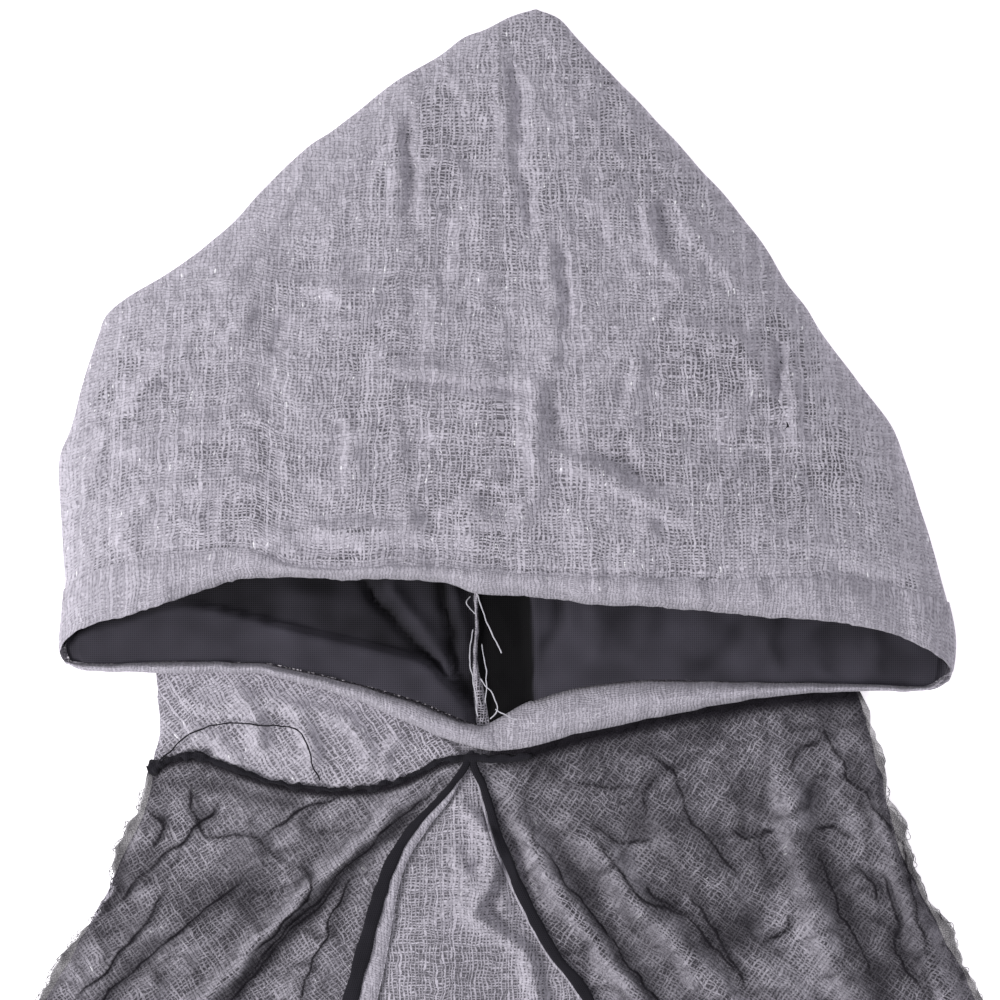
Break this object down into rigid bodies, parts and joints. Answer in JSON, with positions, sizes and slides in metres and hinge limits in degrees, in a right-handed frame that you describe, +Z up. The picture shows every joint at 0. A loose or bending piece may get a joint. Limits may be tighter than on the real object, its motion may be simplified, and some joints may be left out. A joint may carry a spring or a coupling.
{
  "type": "hooded gauze veil",
  "caption": "Pointed hood of grey open-weave gauze with a black net lining, seamed at the neck to a grey gauze cape and a sheer black net over-cape that opens in front.",
  "frame": {"origin": "on the surface that the garment lies on, under the middle of the neck", "axes": "+Z up from the surface, +Y from the cape's hem towards the point of the hood, +X to the right seen from above"},
  "size_m": [0.5018, 0.558, 0.0436],
  "materials": {
    "grey_gauze": "matte open weave",
    "gauze_hem": "matte open weave, two layers",
    "black_lining": "matte fine mesh",
    "black_net": "sheer net",
    "black_binding": "matte tape"
  },
  "bodies": {
    "cape": {"net_back": "black_net", "cape_back": "grey_gauze", "cape_yoke_left": "grey_gauze", "cape_yoke_right": "grey_gauze", "net_yoke_left": "black_net", "net_yoke_right": "black_net", "net_roll_left": "black_net", "net_gather_right": "black_net", "neck_seam": "gauze_hem", "throat_tack": "black_binding"},
    "hood_back": {"hood_back_left": "grey_gauze", "hood_back_right": "grey_gauze", "lining_back_left": "black_lining", "lining_back_right": "black_lining", "seam_allowance": "gauze_hem", "face_hem_left": "gauze_hem", "face_hem_right": "gauze_hem"},
    "hood_front": {"hood_front_left": "grey_gauze", "hood_front_right": "grey_gauze", "lining_front_left": "black_lining", "lining_front_right": "black_lining", "brow_hem_left": "gauze_hem", "brow_hem_right": "gauze_hem", "crown_seam": "gauze_hem"},
    "front_left": {"cape_flap_left": "grey_gauze", "net_flap_left": "black_net", "binding_left": "black_binding", "cape_edge_left": "gauze_hem"},
    "front_right": {"cape_flap_right": "grey_gauze", "net_flap_right": "black_net", "binding_right": "black_binding", "cape_edge_right": "gauze_hem"}
  },
  "joints": [
    {"name": "hood_fold", "type": "hinge", "parent": "cape", "child": "hood_back", "pos_m": [0, 0.014, 0.0015], "axis": [1, 0, 0], "range_deg": [0, 85]},
    {"name": "hood_mouth", "type": "hinge", "parent": "hood_back", "child": "hood_front", "pos_m": [0.0125, 0.313, 0.002], "axis": [-1, 0, 0], "range_deg": [0, 12]},
    {"name": "front_left_open", "type": "hinge", "parent": "cape", "child": "front_left", "pos_m": [-0.01417, 0.01332, 0.0035], "axis": [-0.7139, -0.7003, 0], "range_deg": [0, 110]},
    {"name": "front_right_open", "type": "hinge", "parent": "cape", "child": "front_right", "pos_m": [-0.00911, 0.00916, 0.0035], "axis": [-0.7522, 0.6589, 0], "range_deg": [0, 110]}
  ]
}
